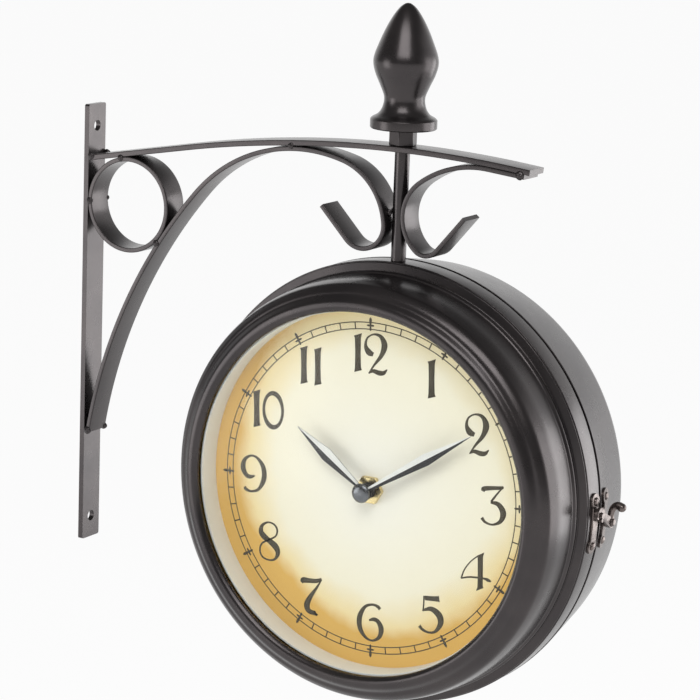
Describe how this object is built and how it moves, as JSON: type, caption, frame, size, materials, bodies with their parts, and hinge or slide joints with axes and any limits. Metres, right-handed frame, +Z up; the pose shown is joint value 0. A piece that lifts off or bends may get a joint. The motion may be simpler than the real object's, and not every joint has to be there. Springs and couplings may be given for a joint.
{
  "type": "double sided clock on a wall bracket",
  "caption": "Round clock with a glazed dial on each side, hung by a rod from a scrolled flat bar wall bracket with a turned finial; the rear cover is hinged and latched.",
  "frame": {"origin": "midway between the two wall screw holes, on the face of the wall strip that lies on the wall", "axes": "+X away from the wall, +Y from the front dial to the rear dial, +Z up"},
  "size_m": [0.3287, 0.0966, 0.3757],
  "materials": {
    "black_paint": "satin",
    "steel": "satin",
    "clear_glass": "polished",
    "liner_paint": "satin",
    "dial_print": "matte",
    "movement_plastic": "matte",
    "wheel_plastic": "matte",
    "battery_label": "gloss",
    "motor_copper": "satin",
    "brass": "polished",
    "hand_paint": "satin"
  },
  "bodies": {
    "frame": {"wall_strip": "black_paint", "arm_strip": "black_paint", "brace_scroll": "black_paint", "arm_scroll": "black_paint", "bracket_ring": "black_paint", "hanger_rod": "black_paint", "arm_nut": "black_paint", "finial": "black_paint", "rod_nut": "steel", "front_bezel": "black_paint", "case_band": "black_paint", "front_glass": "clear_glass", "front_liner": "liner_paint", "front_dial": "dial_print", "front_dial_clips": "steel", "front_movement_case": "movement_plastic", "front_movement_lid": "movement_plastic", "front_battery": "battery_label", "front_contacts": "steel", "front_motor": "motor_copper", "front_fixing_nut": "brass", "hinge_front_leaf": "black_paint", "hinge_pin": "steel", "strike_plate": "black_paint"},
    "rear_cover": {"rear_shell": "black_paint", "rear_bezel": "black_paint", "rear_glass": "clear_glass", "rear_liner": "liner_paint", "rear_dial": "dial_print", "rear_dial_clips": "steel", "rear_movement_case": "movement_plastic", "rear_movement_lid": "movement_plastic", "rear_battery": "battery_label", "rear_contacts": "steel", "rear_motor": "motor_copper", "rear_fixing_nut": "brass", "hinge_rear_leaf": "black_paint", "hook_plate": "black_paint", "latch_pivot": "steel"},
    "latch_hook": {"latch_hook": "black_paint"},
    "front_minute": {"front_minute_wheel": "wheel_plastic", "front_minute_hand": "hand_paint", "front_hand_cap": "hand_paint"},
    "front_hour": {"front_hour_wheel": "wheel_plastic", "front_hour_hand": "hand_paint"},
    "front_set": {"front_set_wheel": "wheel_plastic"},
    "rear_minute": {"rear_minute_wheel": "wheel_plastic", "rear_minute_hand": "hand_paint", "rear_hand_cap": "hand_paint"},
    "rear_hour": {"rear_hour_wheel": "wheel_plastic", "rear_hour_hand": "hand_paint"},
    "rear_set": {"rear_set_wheel": "wheel_plastic"}
  },
  "joints": [
    {"name": "rear_cover_hinge", "type": "hinge", "parent": "frame", "child": "rear_cover", "pos_m": [0.0728, 0.0082, -0.0612], "axis": [0, 0, 1], "range_deg": [0, 90]},
    {"name": "latch_turn", "type": "hinge", "parent": "rear_cover", "child": "latch_hook", "pos_m": [0.319, 0.0152, -0.0662], "axis": [-1, 0, 0], "range_deg": [0, 100]},
    {"name": "front_minute_turn", "type": "hinge", "parent": "frame", "child": "front_minute", "pos_m": [0.197, -0.0206, -0.0612], "axis": [0, 1, 0], "continuous": true},
    {"name": "front_hour_turn", "type": "hinge", "parent": "frame", "child": "front_hour", "pos_m": [0.197, -0.0206, -0.0612], "axis": [0, 1, 0], "continuous": true},
    {"name": "front_set_turn", "type": "hinge", "parent": "frame", "child": "front_set", "pos_m": [0.197, -0.0206, -0.0512], "axis": [0, 1, 0], "continuous": true},
    {"name": "rear_minute_turn", "type": "hinge", "parent": "rear_cover", "child": "rear_minute", "pos_m": [0.197, 0.037, -0.0612], "axis": [0, -1, 0], "continuous": true},
    {"name": "rear_hour_turn", "type": "hinge", "parent": "rear_cover", "child": "rear_hour", "pos_m": [0.197, 0.037, -0.0612], "axis": [0, -1, 0], "continuous": true},
    {"name": "rear_set_turn", "type": "hinge", "parent": "rear_cover", "child": "rear_set", "pos_m": [0.197, 0.037, -0.0512], "axis": [0, -1, 0], "continuous": true}
  ],
  "couplings": [
    {"joint": "front_hour_turn", "follows": "front_minute_turn", "ratio": 0.083333},
    {"joint": "front_set_turn", "follows": "front_minute_turn", "ratio": -0.33333},
    {"joint": "rear_hour_turn", "follows": "rear_minute_turn", "ratio": 0.083333},
    {"joint": "rear_set_turn", "follows": "rear_minute_turn", "ratio": -0.33333}
  ]
}
